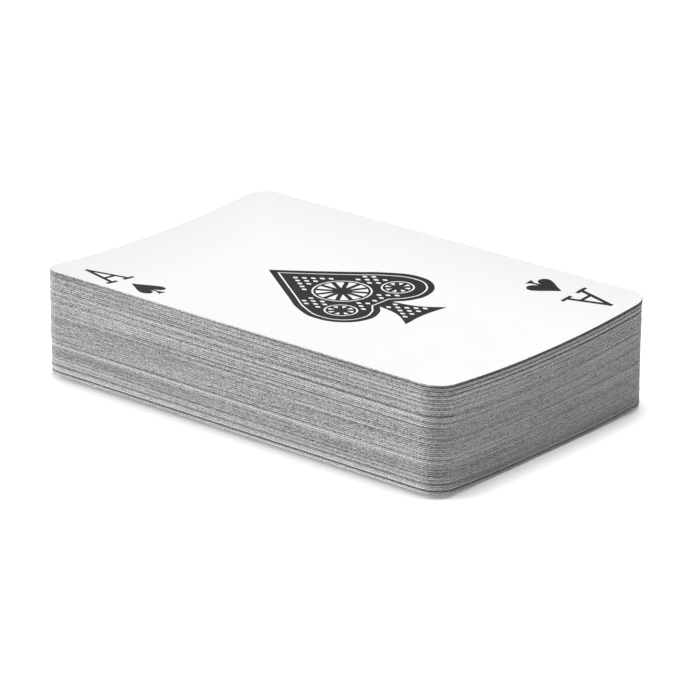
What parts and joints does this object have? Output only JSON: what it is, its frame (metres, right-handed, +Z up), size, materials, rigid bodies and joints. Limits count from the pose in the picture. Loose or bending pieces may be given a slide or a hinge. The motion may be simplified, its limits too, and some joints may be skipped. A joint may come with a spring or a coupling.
{
  "type": "playing card deck",
  "caption": "Loose deck of bridge-size playing cards lying face up in a hand-squared, slightly bowed stack; each card slides out lengthwise.",
  "frame": {"origin": "on the table under the middle of the deck", "axes": "+X along the cards' length, +Y across their width, +Z up; the top card's face is up"},
  "size_m": [0.0882, 0.0572, 0.02],
  "materials": {
    "card_stock": "coated, satin"
  },
  "bodies": {
    "ace_of_spades": {"ace_of_spades": "card_stock"},
    "two_of_spades": {"two_of_spades": "card_stock"},
    "three_of_spades": {"three_of_spades": "card_stock"},
    "four_of_spades": {"four_of_spades": "card_stock"},
    "five_of_spades": {"five_of_spades": "card_stock"},
    "six_of_spades": {"six_of_spades": "card_stock"},
    "seven_of_spades": {"seven_of_spades": "card_stock"},
    "eight_of_spades": {"eight_of_spades": "card_stock"},
    "nine_of_spades": {"nine_of_spades": "card_stock"},
    "ten_of_spades": {"ten_of_spades": "card_stock"},
    "jack_of_spades": {"jack_of_spades": "card_stock"},
    "queen_of_spades": {"queen_of_spades": "card_stock"},
    "king_of_spades": {"king_of_spades": "card_stock"},
    "ace_of_hearts": {"ace_of_hearts": "card_stock"},
    "two_of_hearts": {"two_of_hearts": "card_stock"},
    "three_of_hearts": {"three_of_hearts": "card_stock"},
    "four_of_hearts": {"four_of_hearts": "card_stock"},
    "five_of_hearts": {"five_of_hearts": "card_stock"},
    "six_of_hearts": {"six_of_hearts": "card_stock"},
    "seven_of_hearts": {"seven_of_hearts": "card_stock"},
    "eight_of_hearts": {"eight_of_hearts": "card_stock"},
    "nine_of_hearts": {"nine_of_hearts": "card_stock"},
    "ten_of_hearts": {"ten_of_hearts": "card_stock"},
    "jack_of_hearts": {"jack_of_hearts": "card_stock"},
    "queen_of_hearts": {"queen_of_hearts": "card_stock"},
    "king_of_hearts": {"king_of_hearts": "card_stock"},
    "ace_of_clubs": {"ace_of_clubs": "card_stock"},
    "two_of_clubs": {"two_of_clubs": "card_stock"},
    "three_of_clubs": {"three_of_clubs": "card_stock"},
    "four_of_clubs": {"four_of_clubs": "card_stock"},
    "five_of_clubs": {"five_of_clubs": "card_stock"},
    "six_of_clubs": {"six_of_clubs": "card_stock"},
    "seven_of_clubs": {"seven_of_clubs": "card_stock"},
    "eight_of_clubs": {"eight_of_clubs": "card_stock"},
    "nine_of_clubs": {"nine_of_clubs": "card_stock"},
    "ten_of_clubs": {"ten_of_clubs": "card_stock"},
    "jack_of_clubs": {"jack_of_clubs": "card_stock"},
    "queen_of_clubs": {"queen_of_clubs": "card_stock"},
    "king_of_clubs": {"king_of_clubs": "card_stock"},
    "ace_of_diamonds": {"ace_of_diamonds": "card_stock"},
    "two_of_diamonds": {"two_of_diamonds": "card_stock"},
    "three_of_diamonds": {"three_of_diamonds": "card_stock"},
    "four_of_diamonds": {"four_of_diamonds": "card_stock"},
    "five_of_diamonds": {"five_of_diamonds": "card_stock"},
    "six_of_diamonds": {"six_of_diamonds": "card_stock"},
    "seven_of_diamonds": {"seven_of_diamonds": "card_stock"},
    "eight_of_diamonds": {"eight_of_diamonds": "card_stock"},
    "nine_of_diamonds": {"nine_of_diamonds": "card_stock"},
    "ten_of_diamonds": {"ten_of_diamonds": "card_stock"},
    "jack_of_diamonds": {"jack_of_diamonds": "card_stock"},
    "queen_of_diamonds": {"queen_of_diamonds": "card_stock"},
    "king_of_diamonds": {"king_of_diamonds": "card_stock"},
    "black_joker": {"black_joker": "card_stock"},
    "red_joker": {"red_joker": "card_stock"}
  },
  "joints": [
    {"name": "draw_01_ace_of_spades", "type": "slide", "parent": "red_joker", "child": "ace_of_spades", "axis": [1, 0, 0], "range_m": [-0.09, 0.09]},
    {"name": "draw_02_two_of_spades", "type": "slide", "parent": "red_joker", "child": "two_of_spades", "axis": [1, 0, 0], "range_m": [-0.09, 0.09]},
    {"name": "draw_03_three_of_spades", "type": "slide", "parent": "red_joker", "child": "three_of_spades", "axis": [1, 0, 0], "range_m": [-0.09, 0.09]},
    {"name": "draw_04_four_of_spades", "type": "slide", "parent": "red_joker", "child": "four_of_spades", "axis": [1, 0, 0], "range_m": [-0.09, 0.09]},
    {"name": "draw_05_five_of_spades", "type": "slide", "parent": "red_joker", "child": "five_of_spades", "axis": [1, 0, 0], "range_m": [-0.09, 0.09]},
    {"name": "draw_06_six_of_spades", "type": "slide", "parent": "red_joker", "child": "six_of_spades", "axis": [1, 0, 0], "range_m": [-0.09, 0.09]},
    {"name": "draw_07_seven_of_spades", "type": "slide", "parent": "red_joker", "child": "seven_of_spades", "axis": [1, 0, 0], "range_m": [-0.09, 0.09]},
    {"name": "draw_08_eight_of_spades", "type": "slide", "parent": "red_joker", "child": "eight_of_spades", "axis": [1, 0, 0], "range_m": [-0.09, 0.09]},
    {"name": "draw_09_nine_of_spades", "type": "slide", "parent": "red_joker", "child": "nine_of_spades", "axis": [1, 0, 0], "range_m": [-0.09, 0.09]},
    {"name": "draw_10_ten_of_spades", "type": "slide", "parent": "red_joker", "child": "ten_of_spades", "axis": [1, 0, 0], "range_m": [-0.09, 0.09]},
    {"name": "draw_11_jack_of_spades", "type": "slide", "parent": "red_joker", "child": "jack_of_spades", "axis": [1, 0, 0], "range_m": [-0.09, 0.09]},
    {"name": "draw_12_queen_of_spades", "type": "slide", "parent": "red_joker", "child": "queen_of_spades", "axis": [1, 0, 0], "range_m": [-0.09, 0.09]},
    {"name": "draw_13_king_of_spades", "type": "slide", "parent": "red_joker", "child": "king_of_spades", "axis": [1, 0, 0], "range_m": [-0.09, 0.09]},
    {"name": "draw_14_ace_of_hearts", "type": "slide", "parent": "red_joker", "child": "ace_of_hearts", "axis": [1, 0, 0], "range_m": [-0.09, 0.09]},
    {"name": "draw_15_two_of_hearts", "type": "slide", "parent": "red_joker", "child": "two_of_hearts", "axis": [1, 0, 0], "range_m": [-0.09, 0.09]},
    {"name": "draw_16_three_of_hearts", "type": "slide", "parent": "red_joker", "child": "three_of_hearts", "axis": [1, 0, 0], "range_m": [-0.09, 0.09]},
    {"name": "draw_17_four_of_hearts", "type": "slide", "parent": "red_joker", "child": "four_of_hearts", "axis": [1, 0, 0], "range_m": [-0.09, 0.09]},
    {"name": "draw_18_five_of_hearts", "type": "slide", "parent": "red_joker", "child": "five_of_hearts", "axis": [1, 0, 0], "range_m": [-0.09, 0.09]},
    {"name": "draw_19_six_of_hearts", "type": "slide", "parent": "red_joker", "child": "six_of_hearts", "axis": [1, 0, 0], "range_m": [-0.09, 0.09]},
    {"name": "draw_20_seven_of_hearts", "type": "slide", "parent": "red_joker", "child": "seven_of_hearts", "axis": [1, 0, 0], "range_m": [-0.09, 0.09]},
    {"name": "draw_21_eight_of_hearts", "type": "slide", "parent": "red_joker", "child": "eight_of_hearts", "axis": [1, 0, 0], "range_m": [-0.09, 0.09]},
    {"name": "draw_22_nine_of_hearts", "type": "slide", "parent": "red_joker", "child": "nine_of_hearts", "axis": [1, 0, 0], "range_m": [-0.09, 0.09]},
    {"name": "draw_23_ten_of_hearts", "type": "slide", "parent": "red_joker", "child": "ten_of_hearts", "axis": [1, 0, 0], "range_m": [-0.09, 0.09]},
    {"name": "draw_24_jack_of_hearts", "type": "slide", "parent": "red_joker", "child": "jack_of_hearts", "axis": [1, 0, 0], "range_m": [-0.09, 0.09]},
    {"name": "draw_25_queen_of_hearts", "type": "slide", "parent": "red_joker", "child": "queen_of_hearts", "axis": [1, 0, 0], "range_m": [-0.09, 0.09]},
    {"name": "draw_26_king_of_hearts", "type": "slide", "parent": "red_joker", "child": "king_of_hearts", "axis": [1, 0, 0], "range_m": [-0.09, 0.09]},
    {"name": "draw_27_ace_of_clubs", "type": "slide", "parent": "red_joker", "child": "ace_of_clubs", "axis": [1, 0, 0], "range_m": [-0.09, 0.09]},
    {"name": "draw_28_two_of_clubs", "type": "slide", "parent": "red_joker", "child": "two_of_clubs", "axis": [1, 0, 0], "range_m": [-0.09, 0.09]},
    {"name": "draw_29_three_of_clubs", "type": "slide", "parent": "red_joker", "child": "three_of_clubs", "axis": [1, 0, 0], "range_m": [-0.09, 0.09]},
    {"name": "draw_30_four_of_clubs", "type": "slide", "parent": "red_joker", "child": "four_of_clubs", "axis": [1, 0, 0], "range_m": [-0.09, 0.09]},
    {"name": "draw_31_five_of_clubs", "type": "slide", "parent": "red_joker", "child": "five_of_clubs", "axis": [1, 0, 0], "range_m": [-0.09, 0.09]},
    {"name": "draw_32_six_of_clubs", "type": "slide", "parent": "red_joker", "child": "six_of_clubs", "axis": [1, 0, 0], "range_m": [-0.09, 0.09]},
    {"name": "draw_33_seven_of_clubs", "type": "slide", "parent": "red_joker", "child": "seven_of_clubs", "axis": [1, 0, 0], "range_m": [-0.09, 0.09]},
    {"name": "draw_34_eight_of_clubs", "type": "slide", "parent": "red_joker", "child": "eight_of_clubs", "axis": [1, 0, 0], "range_m": [-0.09, 0.09]},
    {"name": "draw_35_nine_of_clubs", "type": "slide", "parent": "red_joker", "child": "nine_of_clubs", "axis": [1, 0, 0], "range_m": [-0.09, 0.09]},
    {"name": "draw_36_ten_of_clubs", "type": "slide", "parent": "red_joker", "child": "ten_of_clubs", "axis": [1, 0, 0], "range_m": [-0.09, 0.09]},
    {"name": "draw_37_jack_of_clubs", "type": "slide", "parent": "red_joker", "child": "jack_of_clubs", "axis": [1, 0, 0], "range_m": [-0.09, 0.09]},
    {"name": "draw_38_queen_of_clubs", "type": "slide", "parent": "red_joker", "child": "queen_of_clubs", "axis": [1, 0, 0], "range_m": [-0.09, 0.09]},
    {"name": "draw_39_king_of_clubs", "type": "slide", "parent": "red_joker", "child": "king_of_clubs", "axis": [1, 0, 0], "range_m": [-0.09, 0.09]},
    {"name": "draw_40_ace_of_diamonds", "type": "slide", "parent": "red_joker", "child": "ace_of_diamonds", "axis": [1, 0, 0], "range_m": [-0.09, 0.09]},
    {"name": "draw_41_two_of_diamonds", "type": "slide", "parent": "red_joker", "child": "two_of_diamonds", "axis": [1, 0, 0], "range_m": [-0.09, 0.09]},
    {"name": "draw_42_three_of_diamonds", "type": "slide", "parent": "red_joker", "child": "three_of_diamonds", "axis": [1, 0, 0], "range_m": [-0.09, 0.09]},
    {"name": "draw_43_four_of_diamonds", "type": "slide", "parent": "red_joker", "child": "four_of_diamonds", "axis": [1, 0, 0], "range_m": [-0.09, 0.09]},
    {"name": "draw_44_five_of_diamonds", "type": "slide", "parent": "red_joker", "child": "five_of_diamonds", "axis": [1, 0, 0], "range_m": [-0.09, 0.09]},
    {"name": "draw_45_six_of_diamonds", "type": "slide", "parent": "red_joker", "child": "six_of_diamonds", "axis": [1, 0, 0], "range_m": [-0.09, 0.09]},
    {"name": "draw_46_seven_of_diamonds", "type": "slide", "parent": "red_joker", "child": "seven_of_diamonds", "axis": [1, 0, 0], "range_m": [-0.09, 0.09]},
    {"name": "draw_47_eight_of_diamonds", "type": "slide", "parent": "red_joker", "child": "eight_of_diamonds", "axis": [1, 0, 0], "range_m": [-0.09, 0.09]},
    {"name": "draw_48_nine_of_diamonds", "type": "slide", "parent": "red_joker", "child": "nine_of_diamonds", "axis": [1, 0, 0], "range_m": [-0.09, 0.09]},
    {"name": "draw_49_ten_of_diamonds", "type": "slide", "parent": "red_joker", "child": "ten_of_diamonds", "axis": [1, 0, 0], "range_m": [-0.09, 0.09]},
    {"name": "draw_50_jack_of_diamonds", "type": "slide", "parent": "red_joker", "child": "jack_of_diamonds", "axis": [1, 0, 0], "range_m": [-0.09, 0.09]},
    {"name": "draw_51_queen_of_diamonds", "type": "slide", "parent": "red_joker", "child": "queen_of_diamonds", "axis": [1, 0, 0], "range_m": [-0.09, 0.09]},
    {"name": "draw_52_king_of_diamonds", "type": "slide", "parent": "red_joker", "child": "king_of_diamonds", "axis": [1, 0, 0], "range_m": [-0.09, 0.09]},
    {"name": "draw_53_black_joker", "type": "slide", "parent": "red_joker", "child": "black_joker", "axis": [1, 0, 0], "range_m": [-0.09, 0.09]}
  ]
}
